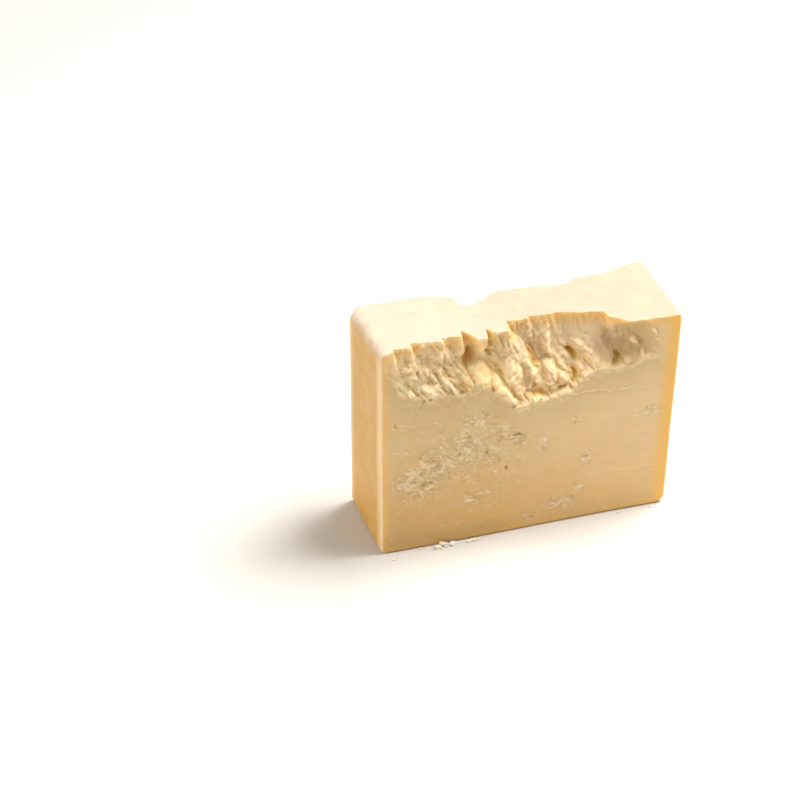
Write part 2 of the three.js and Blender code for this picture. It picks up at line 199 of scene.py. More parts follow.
FLAKES = (
    (-37.2, 46.2, 2.2, 0.6, 42), (-51.6, 36.9, 1.7, 0.6, 75), (-5.9, 45.4, 1.5, 0.8, 60),
    (-28.1, 48.1, 1.9, 0.7, 80), (-16.5, 50.4, 1.4, 0.5, 60), (-26, 19, 2.8, 0.5, 85),
    (10.5, 9.7, 1.7, 0.6, 75), (17.9, 9.8, 2.2, 0.9, 60), (21.9, 15.8, 1.6, 0.7, 80),
    (23, 28.6, 1.5, 0.7, 40), (24.8, 31.8, 1, 0.6, 60), (53, 47.4, 1.6, 0.6, 50),
    (49, 46, 1.7, 0.5, 105), (-57, 58.8, 0.9, 0.6, 20), (4.8, 36.8, 1.2, 0.5, 30),
    (-54.5, 30.4, 1.8, 0.5, 70),
)
PITS = (
    (-56.4, 60.3, 0.5, 0.7, 20, 0.6), (-10.1, 31.5, 0.6, 0.9, 0, 0.9), (18.8, 47, 0.5, 0.6, 30, 0.6),
    (1.6, 5, 0.7, 0.5, 0, 0.6), (-45.8, 66.9, 0.4, 1.4, -8, 0.6), (-44.6, 69.2, 0.4, 1.4, -60, 0.6),
    (-19.8, 5.2, 0.5, 0.5, 0, 0.5), (-31, 43.5, 0.9, 0.6, 0, 0.7), (-41.5, 30.5, 0.8, 0.6, 20, 0.7),
    (-44.1, 30.1, 1.7, 1.3, 20, 0.9), (-45.8, 35.2, 0.8, 0.6, 20, 0.6),
    (-29.7, 41.8, 0.9, 0.7, 30, 0.7), (-18.4, 40.5, 0.7, 1.1, 10, 0.6), (-6.4, 46.1, 1, 0.5, 0, 0.6),
)

# Loose crumbs: place in x and y, length, width, height and turn in degrees.
CRUMBS = (
    (-39.2, -22.6, 4, 2.2, 1.2, 14), (-37.2, -22, 3.4, 1.6, 1.8, -20), (-35.2, -22.6, 3, 1.7, 1.1, 35),
    (-33, -22.1, 3.4, 1.5, 1.4, 4), (-30.8, -22, 2.8, 1.3, 0.9, -14), (-37.6, -23.9, 1.8, 1.1, 0.7, 55),
    (-26.2, -22.6, 3, 1.5, 1.1, 18), (-24, -22.2, 2.8, 1.2, 1.3, -8), (-21.8, -22, 1.6, 1, 0.7, 25),
    (-46.4, -21.8, 1.4, 0.9, 0.7, 5), (-58.4, -24.8, 2, 1.4, 0.9, 40), (-55.8, -22, 1.1, 0.8, 0.6, 0),
    (38.6, -22, 1.6, 1, 0.7, 15), (40.6, -21.8, 1, 0.7, 0.5, 60), (52.8, -22, 1.5, 1.1, 0.7, -10),
)
CRUMB_AROUND, CRUMB_RISING, CRUMB_SIDES = 36, 17, 16
CRUMB_SEED = 12
CRUMB_REACH = (0.55, 1.0)
CRUMB_LEAST_SLANT = 0.3

# Noises of the finish: the size of their features in mm, and how they are drawn out.
NOISES = {
    "clouds": dict(size=16, detail=4),
    "gold": dict(size=19, stretch=(1.7, 1, 0.8)),
    "grain": dict(size=0.7, detail=2),
    "drag": dict(size=3.6, stretch=(9, 1, 1), detail=4),
    "dry_spots": dict(size=2.6, detail=5),
    "crumb": dict(size=1.3, detail=5, roughness=0.7),
    "fray": dict(size=3.0, detail=4),
    "curd": dict(size=1.1, stretch=(1.7, 1, 0.8), detail=4, roughness=0.6),
    "specks": dict(size=1.5, stretch=(1.4, 1, 0.8), detail=5, roughness=0.72),
    "mottle": dict(size=2.4, detail=4, roughness=0.65),
    "seam_breaks": dict(size=5, detail=2),
    "fibre": dict(size=0.8, stretch=(1, 1, 4), detail=4, roughness=0.65, lean=math.radians(20)),
    "smear": dict(size=2.8, detail=4),
    "rim_edge": dict(size=7),
    "rim_chips": dict(size=2.4, detail=4),
    "streaks": dict(size=1.1, stretch=(1, 1, 40), detail=2),
    "bloom": dict(size=9, detail=5),
    "dried": dict(size=5, stretch=(2.2, 1, 1), detail=6, roughness=0.65),
    "crust_edge": dict(size=5, detail=5),
}

# A ramp names a field, which is a mask, a noise or a coordinate, two of its values and what the
# ramp gives there, 0 and 1 if nothing is said. Ramps in one row are multiplied.
FRAY = ("fray", 0.35, 0.65, 0.3, 1.8)
# Hollows of the break, where flecks are low, take the hollow colour: painted glow near the rim and painted
# shade deeper down.
FILLED = ("flecks", -1.5, -0.35)
# Share of the top rind near the crest: partly drier rind, partly painted light.
CRUSTED = ("crust_reach", 0.8, 6.0, 1, 0)
ON_WALL = (("crest_gap", 2.0, 5.0), ("crest_gap", 11.0, 20.0, 0.85, 0))
ON_TORN = ("frayed", 0.05, 0.6)
ON_CURD = ("frayed", 0.05, 0.4, 0.12, 1)
# Yellower paste next to the rind: partly its own colour, partly painted glow of light passing through the
# thin edge.
UNDER_RIND_AND_GLOW = ("Under the rind", (0.91, 0.545, 0.137))

# Fields made of another one and of ramps that are added to it.
SUMS = {
    "seam_reach": ("seam_away", ("crumb", 0.3, 0.7, -0.15, 0.35)),
    "smear_reach": ("foot_gap", ("smear", 0.3, 0.7, -2.4, 2.4)),
    "rim_reach": ("crest_gap", ("rim_edge", 0.35, 0.65, -1.2, 1.6)),
    "crust_reach": ("crest_gap", ("crust_edge", 0.3, 0.7, -0.5, 0.5)),
    "crumbs": ("crown", ("crumb", 0.3, 0.7, -0.3, 0.3)),
    "fibres": ("crumbs", ("fibre", 0.3, 0.7, -0.4, 0.5)),
    "flecks": ("fibres", ("crest_gap", 8.0, 18.0, 0, 0.8), ("X", -0.036, -0.020, 1, 0)),
}

# Tints, laid over each other in this order: name, colour, and the ramps whose product is the share.
TINTS = {
    "paste": (
        ("Pale clouds", (0.77, 0.578, 0.32), ("clouds", 0.35, 0.65)),
        ("Golden clouds", (0.80, 0.535, 0.215), ("gold", 0.45, 0.62, 0, 0.35)),
        ("Low paste", (0.72, 0.425, 0.13), ("Z", 0, 0.055, 0.9, 0)),
        # Painted light: the cut is lighter towards the right, where more light falls.
        ("Right paste", (0.93, 0.68, 0.38), ("X", -0.03, 0.05, 0, 0.5)),
        # Painted shade: the cut is darker at its lower left and along its base near the crumbs, where
        # shade falls by the floor.
        ("Left corner", (0.58, 0.39, 0.16), ("X", -0.062, 0.005, 0.55, 0), ("Z", 0, 0.035, 1, 0)),
        ("Damp base", (0.52, 0.34, 0.14), ("X", -0.02, 0, 1, 0), ("Z", 0.001, 0.010, 0.5, 0)),
        ("Honey", (0.78, 0.50, 0.185), ("X", -0.01, 0.02), ("Z", 0.004, 0.026, 0.5, 0)),
        ("Under the break", (0.64, 0.455, 0.22), ("X", -0.030, -0.014, 1.25, 0.6),
         ("X", 0.006, 0.022, 1, 1.9), ("foot_gap", -1, 18, 0.55, 0)),
        ("Drag lines", (0.60, 0.46, 0.27), ("drag", 0.48, 0.66, 0, 0.14)),
        ("Dry spots", (0.83, 0.66, 0.41), ("dry_spots", 0.5, 0.75, 0, 0.3)),
        ("Curd gaps", (0.60, 0.42, 0.195), ON_CURD, ("curd", 0.34, 0.5, 0.6, 0)),
        ("Curd grains", (0.86, 0.69, 0.42), ON_CURD, ("curd", 0.5, 0.66, 0, 0.5)),
        ("Torn olive", (0.56, 0.41, 0.19), ON_TORN, ("mottle", 0.36, 0.5, 0.28, 0)),
        ("Torn cream", (0.86, 0.70, 0.46), ON_TORN, ("mottle", 0.5, 0.62, 0, 0.6)),
        ("Light specks", (0.93, 0.81, 0.57), ON_TORN, ("specks", 0.52, 0.64, 0, 0.75)),
        ("Dark specks", (0.57, 0.375, 0.155), ON_TORN, ("specks", 0.36, 0.47, 0.9, 0)),
        # Painted shade in the pits of the cut and painted highlight on its raised scabs, from the crown
        # mask; the scabs are also paler paste.
        ("Pits", (0.42, 0.26, 0.085), ("crown", -0.5, -0.1, 0.55, 0)),
        ("Scabs", (0.96, 0.81, 0.55), ("crown", 0.05, 0.3, 0, 0.8)),
        ("Seams", (0.92, 0.79, 0.57), ("seam_reach", 0.1, 0.35, 0.75, 0),
         ("seam_breaks", 0.38, 0.55, 0.15, 1)),
        ("Smears", (0.88, 0.68, 0.40), ("smear_reach", -0.5, 2.4, 0.65, 0)),
    ),
    "hollows": (
        # Painted shade: hollows deeper under the rim turn golden brown.
        ("Clefts", (0.78, 0.545, 0.17), ("crest_gap", 5, 12)),
    ),
    "wall": (
        # Painted shade: the upper wall of the break under the rim is greyed and darkened.
        ("Wall", (0.82, 0.62, 0.38), *ON_WALL),
    ),
    "break": (
        # Partly paler dry paste, partly painted highlight: raised bits of the break, found by the crown
        # mask, are lightened.
        ("Crowns", (0.96, 0.74, 0.47), ("flecks", 0, 0.6), ("wall_share", 0, 0.85, 1, 0.35),
         ("X", -0.012, 0.002, 1, 0.6)),
        # Painted shade with painted glow: deep clefts are darkened to orange brown.
        ("Holes", (0.82, 0.47, 0.09), ("cleft", 0.8, 3, 0, 0.85)),
        ("Bright flecks", (0.97, 0.85, 0.66), ("flecks", 1, 1.5, 0, 0.7), ("X", -0.012, 0.002, 1, 0.3)),
        # Painted glow and fill light: the sides of knobs that face one way are made golden.
        ("Golden sides", (0.80, 0.50, 0.15), ("facing", 0.7, 1.8, 0, 0.85), ("crest_gap", 8, 15, 1, 0)),
        ("Warm left", (0.97, 0.70, 0.30), ("X", -0.036, -0.024, 0.25, 0.5), ("X", -0.016, -0.006, 1, 0)),
        ("Even shelf", (0.80, 0.60, 0.365), ("X", -0.012, 0.002, 0, 0.55), ("flecks", -0.7, 0.1)),
        # Painted shade: the scoop, which lies in shade under the rim, is darkened except on its raised
        # bits.
        ("Moist scoop", (0.67, 0.48, 0.225), ("X", 0.034, 0.040, 0, 0.68), ("crown", 0.15, 0.4, 1, 0)),
        ("Chips", (0.95, 0.79, 0.52), ("chip", 0.05, 0.5, 0, 0.7)),
    ),
    "inside": (
        # Partly the paste's own colour, partly painted glow: the cut is yellower next to the rind.
        (*UNDER_RIND_AND_GLOW, ("rind_gap", 0.3, 4.5, 0.45, 0)),
        (*UNDER_RIND_AND_GLOW, ("X", -0.0625, -0.0560, 0.4, 0)),
        # Painted glow: an orange band under the rim, where light passes through the thin edge of the
        # break.
        ("Rim band", (0.86, 0.54, 0.165), ("crest_gap", 0.6, 2.2, 0.35, 1), ("rim_reach", 2.4, 7, 1, 0),
         ("X", 0.002, 0.016, 0.42, 0.7)),
        ("Rim chips", (0.97, 0.86, 0.62), ("crest_gap", 0.8, 2.6, 0.85, 0), ("rim_chips", 0.44, 0.56),
         ("X", -0.006, 0.002, 1, 0.25)),
        # Partly denser paste by the rind, partly painted glow: a saturated orange band along the right end
        # of the cut.
        (*UNDER_RIND_AND_GLOW, ("right_gap", 2.2, 9, 1, 0)),
    ),
    "sides": (
        ("Low rind", (0.70, 0.38, 0.072), ("Z", 0, 0.045, 0.9, 0)),
        ("Dry rind", (0.63, 0.485, 0.28), ("crest_gap", 3, 12, 0.15, 0)),
        ("Rind edge", (0.83, 0.60, 0.295), ("edge_gap", 1, 7, 0.8, 0)),
    ),
    "top": (
        ("Right top", (0.66, 0.455, 0.335), ("X", -0.04, 0.01)),
        # Painted highlight: the rounded shoulder at the top left is whitened where light from above falls
        # on it.
        ("Shoulder", (0.78, 0.665, 0.53), ("X", -0.0620, -0.0560, 1, 0)),
        ("Dried patches", (0.57, 0.39, 0.27), ("dried", 0.5, 0.72, 0, 0.45)),
    ),
    "rind": (
        ("Bloom", (0.81, 0.68, 0.47), ("bloom", 0.4, 0.7, 0, 0.15)),
        ("Streaks", (0.60, 0.43, 0.21), ("streaks", 0.55, 0.8, 0, 0.25)),
    ),
    "edges": (
        # Partly wear, partly painted highlight: the vertical edges between the left rind and the cuts are
        # lightened.
        ("Worn edge", (0.90, 0.77, 0.58), ("edge_gap", 0.5, 1.4, 0.7, 0)),
    ),
}

# Sheen and fine bump of the cheese, and the light that passes through it.
ROUGHNESS = ("grain", 0.3, 0.7, 0.42, 0.58)
BROKEN_ROUGHER = 0.16
CRUMB_BUMP = ("broken", 0, 1, 0.15, 1)
SPECK_BUMP = (*ON_TORN, 0, 1.2)
STREAK_BUMP, GRAIN_BUMP = 0.5, 0.2
BUMP_STRENGTH, BUMP_HEIGHT = 0.7, 0.5 * MM
SHINE = dict(Specular_IOR_Level=0.45, IOR=1.45)
GLOW = dict(Subsurface_Weight=0.5, Subsurface_Radius=(1.0, 0.5, 0.2), Subsurface_Scale=1.6 * MM)

# Finish of the loose crumbs.
CRUMB_MOTTLE = dict(size=0.8, detail=4)
CRUMB_SPOTS = ("mottle", 0.35, 0.65)
CRUMB_ROUGHNESS = (0.55, 0.75)
CRUMB_GLOW = dict(Subsurface_Weight=0.4, Subsurface_Radius=(1.0, 0.5, 0.2), Subsurface_Scale=1.5 * MM)

FLOOR_ROUGHNESS = 0.9
SENSOR_WIDTH = 36


def property_kind(make, **settings):
    """Maker of properties of one kind, each from a name, a description and a default."""
    return lambda name, description, default: make(
        name=name, description=description, default=default, **settings)


metres = property_kind(bpy.props.FloatProperty, unit="LENGTH")
radians = property_kind(bpy.props.FloatProperty, subtype="ANGLE")
watts = property_kind(bpy.props.FloatProperty, unit="POWER")
plain = property_kind(bpy.props.FloatProperty)
whole = property_kind(bpy.props.IntProperty)
colour = property_kind(bpy.props.FloatVectorProperty, subtype="COLOR", size=3)
position = property_kind(bpy.props.FloatVectorProperty, subtype="TRANSLATION", unit="LENGTH", size=3)


def key(label):
    """Name of a property from its label."""
    return label.lower().replace(" ", "_")


class SlabSizes(bpy.types.PropertyGroup):
    """Sizes of the slab as cut from the loaf"""

    length: metres("Length", "From the left rind to the right rind", SLAB_SIZE.x)
    thickness: metres("Thickness", "Between the two cut faces", SLAB_SIZE.y)
    top_left_front: metres("Height left front", "Height of the loaf at the left front corner", 0.0940)
    top_right_front: metres("Height right front", "Height of the loaf at the right front corner", 0.0887)
    top_left_back: metres("Height left back", "Height of the loaf at the left back corner", 0.0915)
    top_right_back: metres("Height right back", "Height of the loaf at the right back corner", 0.0910)
    right_draft: metres("Right draft", "How far the right end leans in towards the base", 0.003)
    top_left_radius: metres("Top left radius", "Rounding of the rind at the top left", 0.0055)
    top_right_radius: metres("Top right radius", "Rounding of the rind at the top right", 0.0018)
    base_left_radius: metres("Base left radius", "Rounding of the rind at the base on the left", 0.0025)
    base_right_radius: metres("Base right radius", "Rounding of the rind at the base on the right", 0.0035)
    cut_edge_radius: metres("Cut edge radius", "Worn edge between the rind and a cut face", 0.0014)
    columns: whole("Columns", "Grid cells along the slab", 320)
    layers: whole("Layers", "Grid cells through the slab", 18)
    rows: whole("Rows", "Grid cells up the slab", 196)


class BreakSizes(bpy.types.PropertyGroup):
    """Sizes of the broken part of the cut faces"""

    lean: radians("Lean", "How far the ribs of the break lean from upright", math.radians(20))
    lip: metres("Lip", "Step where the break leaves the cut face", 0.0013)


class CheeseColours(bpy.types.PropertyGroup):
    """Colours of paste, break, rind and crumbs, linear"""

    paste: colour("Paste", "Cut paste", (0.76, 0.542, 0.265))
    # Painted glow: the orange of light passing through thin paste, laid in the break's hollows near the
    # rim.
    hollow: colour("Glowing hollows", "Hollows of the break near the rim", (0.90, 0.59, 0.21))
    broken: colour("Broken paste", "Paste of the break", (0.93, 0.675, 0.345))
    rind: colour("Rind", "Smooth rind of the loaf's sides", (0.585, 0.319, 0.061))
    # Partly drier rind, partly painted light: the top rind is pale and washed out, as under the strong
    # light from above.
    rind_top: colour("Dry and lit top rind", "Drier rind on top of the loaf", (0.73, 0.52, 0.40))
    crumb: colour("Crumbs", "Loose crumbs", (0.97, 0.88, 0.68))
    crumb_pale: colour("Pale crumbs", "Dry spots of the loose crumbs", (0.98, 0.94, 0.84))


CheeseColours.__annotations__.update(
    {key(label): colour(label, f"Tint of the {part}", default)
     for part, tints in TINTS.items() for label, default, *_ in tints})


class StageSettings(bpy.types.PropertyGroup):
    """Camera, lights and floor"""

    azimuth: radians("Azimuth", "Turn of the camera round the slab", math.radians(-17.85))
    elevation: radians("Elevation", "Camera's height above the horizon", math.radians(32.6))
    distance: metres("Distance", "From the camera to the point it looks at", 1.093)
    target: position("Target", "Point on the floor in the middle of the picture", (-0.0200, 0.0867, 0.0))
    lens: plain("Lens", "Focal length on a 36 mm sensor, in millimetres", 112.5)
    aim: position("Aim", "Point that the lights face", (0.0, 0.0, 0.05))
    key_place: position("Key place", "Place of the key light", (0.50, 0.08, 1.05))
    key_size: metres("Key size", "Side of the key light", 0.7)
    key_power: watts("Key power", "Power of the key light", 22.6)
    key_colour: colour("Key colour", "Colour of the key light", (1.0, 0.99, 0.97))
    fill_place: position("Fill place", "Place of the fill light on the left", (-1.2, -0.1, 0.6))
    fill_size: metres("Fill size", "Side of the fill light", 0.8)
    fill_power: watts("Fill power", "Power of the fill light", 8.0)
    fill_colour: colour("Fill colour", "Colour of the fill light", (1.0, 0.90, 0.76))
    sky: plain("Sky", "Strength of the even light from all sides", 0.31)
    floor: colour("Floor", "Pale floor", (0.74, 0.715, 0.68))
    floor_reach: metres("Floor reach", "From the middle of the floor to its sides", 4.0)


def smooth(value, low, high):
    """Smooth rise from 0 at low to 1 at high."""
    share = np.clip((value - low) / (high - low), 0, 1)
    return share * share * (3 - 2 * share)


def mix(first, second, share):
    """Straight mix of two values."""
    return first + (second - first) * share


def scatter(i, j):
    """Repeatable scatter between 0 and 1: the fraction of a large sine of two whole numbers."""
    wave = np.sin(i * 127.1 + j * 311.7) * 43758.5453
    return wave - np.floor(wave)


def leaning(x, z, lean):
    """Coordinates across the ribs of the break and along them."""
    across = x * math.cos(lean) + z * math.sin(lean)
    along = x * math.sin(lean) - z * math.cos(lean)
    return across, along


def bent(x, z):
    """Coordinates bent by sums of sine waves, so that no row of knobs is straight."""
    bend_x = 0.8 * np.sin(z / 3.1 + 1.3 * np.sin(x / 7.3)) + 0.4 * np.sin(x / 1.9 + z / 2.3)
    bend_z = 0.8 * np.sin(x / 2.7 + 1.1 * np.sin(z / 6.1)) + 0.4 * np.sin(z / 2.1 - x / 1.7)
    return x + bend_x, z + bend_z


def neighbours(x, z, lean, width, stretch):
    """The nine jittered cells of a leaning grid round each point, one after another: the
    whole-number place of each, and the offset from its centre."""
    across, along = leaning(x, z, lean)
    u, v = across / width, along / (width * stretch)
    column, row = np.floor(u), np.floor(v)
    for i in (column - 1, column, column + 1):
        for j in (row - 1, row, row + 1):
            yield i, j, u - i - scatter(i, j), v - j - scatter(i + 57, j + 113)


def chunks(x, z, lean, width, stretch):
    """Crowded knobs of uneven size, from about -0.5 in the gaps to 0.6 on top.

    Each jittered cell carries a cone with a rounded tip, turned and drawn out by its
    own scatter, and the highest cone counts.
    """
    height = np.full(x.shape, -FAR)
    for i, j, du, dv in neighbours(x, z, lean, width, stretch):
        turn = math.pi * scatter(i + 31, j + 17)
        thin = 1.3 * (du * np.cos(turn) + dv * np.sin(turn))
        wide = 0.8 * (dv * np.cos(turn) - du * np.sin(turn))
        cone = 0.2 - 1.1 * np.sqrt(thin ** 2 + wide ** 2 + 0.03)
        height = np.maximum(height, cone + 0.7 * scatter(i + 19, j + 71))
    return height


def flakes(x, z, lean, size, stretch):
    """Flat, tilted flakes from about -1 to 1: the nearest jittered cell gives the height
    and the slope, so that there is a step between cells."""
    nearest = np.full(x.shape, FAR)
    offset_u, offset_v, label = np.zeros((3, *x.shape))
    for i, j, du, dv in neighbours(x, z, lean, size, stretch):
        distance = np.hypot(du, dv)
        closer = distance < nearest
        nearest = np.where(closer, distance, nearest)
        offset_u = np.where(closer, du, offset_u)
        offset_v = np.where(closer, dv, offset_v)
        label = np.where(closer, scatter(i + 19, j + 71), label)
    turn = 2 * math.pi * scatter(np.floor(label * 997), 5)
    return 1.2 * (label - 0.5) + 0.9 * (offset_u * np.cos(turn) + offset_v * np.sin(turn))


def knobbly(layer, x, z, lean):
    """Layer of chunks at the height and size that the table of relief gives."""
    high, width, stretch = RELIEF[layer]
    return high * chunks(x, z, lean, width, stretch)


def flaky(layer, x, z, lean):
    """Layer of flakes at the height and size that the table of relief gives."""
    high, size, stretch = RELIEF[layer]
    return high * flakes(x, z, lean, size, stretch)


def rim_recess(x, below, steps):
    """Depth of the break under the rim: a sum of smooth steps, which lean and
    soften on the way down."""
    depth = np.zeros(x.shape)
    for at, deeper, over, spread, lean in steps:
        edge = at + below * math.tan(math.radians(lean))
        half = (over + spread * (below / 10) ** 2) / 2
        depth = depth + deeper * smooth(x, edge - half, edge + half)
    return depth


def foot_height(x, foot):
    """Height of the foot of a break: straight runs between its points, and two small waves."""
    points = np.array(foot)
    jagged = np.sin(x / 3.7) + 0.6 * np.sin(x / 1.9 + 1)
    return np.interp(x, points[:, 0], points[:, 1]) + jagged


def span_share(x, span):
    """1 along a break, fading to 0 at its two ends."""
    start, full, fade, end = span
    return smooth(x, start, full) * (1 - smooth(x, fade, end))


def scoop_depth(x, z):
    """Shell-shaped hollow: half an ellipsoid, deeper upwards and to the left, with faint rings."""
    u, v = (x - SCOOP_X) / SCOOP_HALF_WIDTH, (z - SCOOP_Z) / SCOOP_HALF_HEIGHT
    bowl = np.maximum(0, 1 - u * u - v * v) ** SCOOP_ROUNDING
    away = np.hypot(x - RINGS_X, (z - RINGS_Z) * RINGS_STRETCH)
    rings = RINGS_HEIGHT * np.sin(away * RINGS_PITCH) * bowl
    return SCOOP_DEPTH * bowl * (1 + SCOOP_UPWARD * v - SCOOP_LEFTWARD * u) + rings


def frayed(x, z, lean, ragged):
    """Coordinates moved by small chunks, so that outlines drawn with them are ragged."""
    return (x + ragged * knobbly("outline_frays", x, z, lean),
            z + ragged * knobbly("outline_frays", x + FRAY_SHIFT, z, lean))


def gap_depth(x, z, gaps):
    """Sum of leaning bell-shaped gaps."""
    depth = np.zeros(x.shape)
    for at_x, at_z, reach_across, reach_along, lean, deep in gaps:
        across, along = leaning(x - at_x, z - at_z, math.radians(lean))
        depth = depth + deep * np.exp(-(across / reach_across) ** 2 - (along / reach_along) ** 2)
    return depth


def knob_height(x, z, lean, knobs, ragged):
    """Highest of the leaning knobs, each half an ellipsoid with a ragged outline, and how
    calm they are: their coordinates are moved by small chunks, and their height varies."""
    moved_x, moved_z = frayed(x, z, lean, ragged)
    height, calm = np.zeros(x.shape), np.zeros(x.shape)
    for at_x, at_z, reach_across, reach_along, knob_lean, high, still in knobs:
        across, along = leaning(moved_x - at_x, moved_z - at_z, math.radians(knob_lean))
        ball = np.maximum(0, 1 - (across / reach_across) ** 2 - (along / reach_along) ** 2)
        height = np.maximum(height, high * ball)
        calm = np.maximum(calm, still * smooth(ball, 0, 0.5))
    return height * (1 + 0.5 * ragged * (1 - calm) * knobbly("skin_knobs", x, z, lean)), calm


def front_relief(x, z, lean, rise, rim, left, middle, right):
    """Relief of the front break, positive outwards.

    Scales cover the foot of the left part and flutes its wall, knobs the shelf of the
    middle and folds its wall, and a few grains the scoop at the right. Fine crumb lies
    over all of them. They are calmer at the rim and where the rim lies near its cut.
    """
    slant, upright = SLANT * lean, UPRIGHT * lean
    crook = bent(x, z)
    wall = smooth(rise, *WALL_STARTS)
    chipped = smooth(x, *CHIPPING_STARTS) * (1 - smooth(x, *CHIPPING_ENDS))
    crumb = knobbly("crumb_knobs", *crook, slant) + flaky("crumb_flakes", *crook, lean)
    flutes = (knobbly("flute_ribs", x, z, lean) + knobbly("flute_threads", *crook, lean)
              + CRUMB_ON["flutes"] * crumb)
    scales = (knobbly("scale_ribs", x, z, lean) + knobbly("scale_knobs", *crook, slant)
              + flaky("scale_flakes", *crook, slant) + CRUMB_ON["scales"] * crumb)
    knobs = (knobbly("shelf_lumps", *crook, lean) + knobbly("shelf_knobs", *crook, slant)
             + CRUMB_ON["knobs"] * crumb)
    folds = (knobbly("wall_folds", x, z, upright) + knobbly("wall_threads", *crook, upright)
             + CRUMB_ON["folds"] * crumb
             + chipped * (CRUMB_ON["chipped"] * crumb + flaky("wall_flakes", *crook, lean)))
    grains = np.maximum(0, knobbly("scoop_grains", *crook, lean) - GRAIN_LEAST)
    shell = flaky("scoop_flakes", x, z, lean) + CRUMB_ON["scoop"] * crumb + GRAIN_HEIGHT * grains
    relief = left * mix(scales, flutes, wall) + middle * mix(knobs, folds, wall) + right * shell
    calm = 1 - mix(RIM_CALM, CHIPPED_CALM, chipped) * smooth(rise, *RIM_STARTS)
    return relief * mix(right, 1, mix(NEAR_CUT_SHARE, 1, smooth(rim, *NEAR_CUT))) * calm


def front_break(x, z, top, sizes):
    """Depth of the front break behind its cut, its mask, its clefts, its chips and its foot.

    From its foot the break runs in over a shelf and up a wall to the rim. Relief, knobs
    and clefts lie on that slope, and a smooth scoop lies at the right. What would stand
    proud of the cut is pressed back to a small height.
    """
    lean, slant = sizes.lean, SLANT * sizes.lean
    left = 1 - smooth(x, *RIBS_END)
    right = smooth(x, *SCOOP_STARTS)
    middle = (1 - left) * (1 - right)
    crook = bent(x, z)
    rim = rim_recess(x, top - z, FRONT_STEPS)
    foot = foot_height(x, FRONT_FOOT) + (1 - right) * (
        knobbly("foot_knobs", *crook, slant) + flaky("foot_flakes", *crook, lean))
    rise = np.clip((z - foot) / (top - foot), 0, 1)
    broken = span_share(x, FRONT_SPAN) * smooth(rise, *LIP)
    relief = front_relief(x, z, lean, rise, rim, left, middle, right)
    lip = sizes.lip / MM * (1 - LIP_LESS_AT_SCOOP * right)
    slope = lip * (1 - rise) + rim * (1 - (1 - rise) ** FRONT_RISE)
    gaps = gap_depth(*frayed(*crook, slant, RAGGED_CLEFTS), CLEFTS) * broken
    raised, still = knob_height(*crook, slant, KNOBS, RAGGED_KNOBS)
    chips, _ = knob_height(x, z, slant, CHIPS, RAGGED_CHIPS)
    proud = middle * (1 - smooth(rise, *PROUD_ENDS))
    inward = slope - relief * (1 - still) + scoop_depth(x, z) - raised - chips
    outward = -proud * (1 - np.exp(np.minimum(0, inward) / np.maximum(proud, LEAST_PROUD)))
    depth = broken * np.where(inward < 0, outward, inward) + gaps
    return depth, broken, gaps, chips, foot


def back_break(x, z, top, sizes):
    """Depth of the back break behind its cut, and its mask: a slope like the front one's
    with lumps, knobs and flakes on it."""
    lean = -sizes.lean
    crook = bent(x + BACK_SHIFT, z)
    rim = rim_recess(x, top - z, BACK_STEPS)
    foot = foot_height(x, BACK_FOOT) + flaky("back_foot", *crook, lean)
    rise = np.clip((z - foot) / (top - foot), 0, 1)
    broken = span_share(x, BACK_SPAN) * smooth(rise, *BACK_LIP)
    calm = 1 - BACK_RIM_CALM * smooth(rise, *BACK_RIM_STARTS)
    relief = (knobbly("back_lumps", *crook, lean) + knobbly("back_knobs", *crook, lean)
              + flaky("back_flakes", *crook, lean)) * calm
    slope = BACK_LIP_SHARE * sizes.lip / MM * (1 - rise) + rim * (1 - (1 - rise) ** BACK_RISE)
    return broken * np.maximum(0, slope - relief), broken


def blurred(sheet, reach):
    """Moving average of a grid over a few cells each way, done three times."""
    for _ in range(3):
        for axis in (0, 1):
            ends = [(reach, reach) if a == axis else (0, 0) for a in (0, 1)]
            padded = np.pad(sheet, ends, mode="edge")
            views = [np.take(padded, range(k, k + sheet.shape[axis]), axis) for k in range(2 * reach + 1)]
            sheet = sum(views) / len(views)
    return sheet


def torn_share(x, z):
    """How torn the front cut is: soft round patches, joined by taking the largest."""
    share = np.zeros(x.shape)
    for at_x, at_z, reach_x, reach_z, strong in TORN:
        patch = np.exp(-((x - at_x) / reach_x) ** 2 - ((z - at_z) / reach_z) ** 2)
        share = np.maximum(share, strong * patch)
    return share


def bell(value, high, at, reach):
    """Bell-shaped bump round a value."""
    return high * np.exp(-((value - at) / reach) ** 2)


def flake_relief(x, z):
    """Single flakes on the cut, each half an ellipsoid with a slot along its upper side."""
    relief = np.zeros(x.shape)
    for at_x, at_z, length, width, lean in FLAKES:
        across, along = leaning(x - at_x, z - at_z, math.radians(lean))
        ball = 1 - (across / width) ** 2 - (along / length) ** 2
        slot = np.exp(-((across / width - SLOT_ACROSS) / SLOT_REACH) ** 2
                      - (along / (SLOT_REACH * length)) ** 2)
        relief = relief + SLOT_DEPTH * slot - FLAKE_HEIGHT * np.maximum(0, ball)
    return relief


def seam_offset(x, z):
    """Height above the nearest seam, growing past its ends, and the seam's strength: each
    seam is a straight run with two small waves."""
    offset, strength = np.full(x.shape, FAR), np.zeros(x.shape)
    for start_x, start_z, end_x, end_z, strong in SEAMS:
        share = (x - start_x) / (end_x - start_x)
        line = mix(start_z, end_z, share) + 0.5 * np.sin(x / 2.9 + start_z) + 0.25 * np.sin(x / 1.1)
        past = np.maximum(0, np.maximum(start_x - x, x - end_x))
        above = z - line
        above = above + np.where(above < 0, -past, past)
        closer = np.abs(above) < np.abs(offset)
        offset = np.where(closer, above, offset)
        strength = np.where(closer, strong, strength)
    return offset, strength


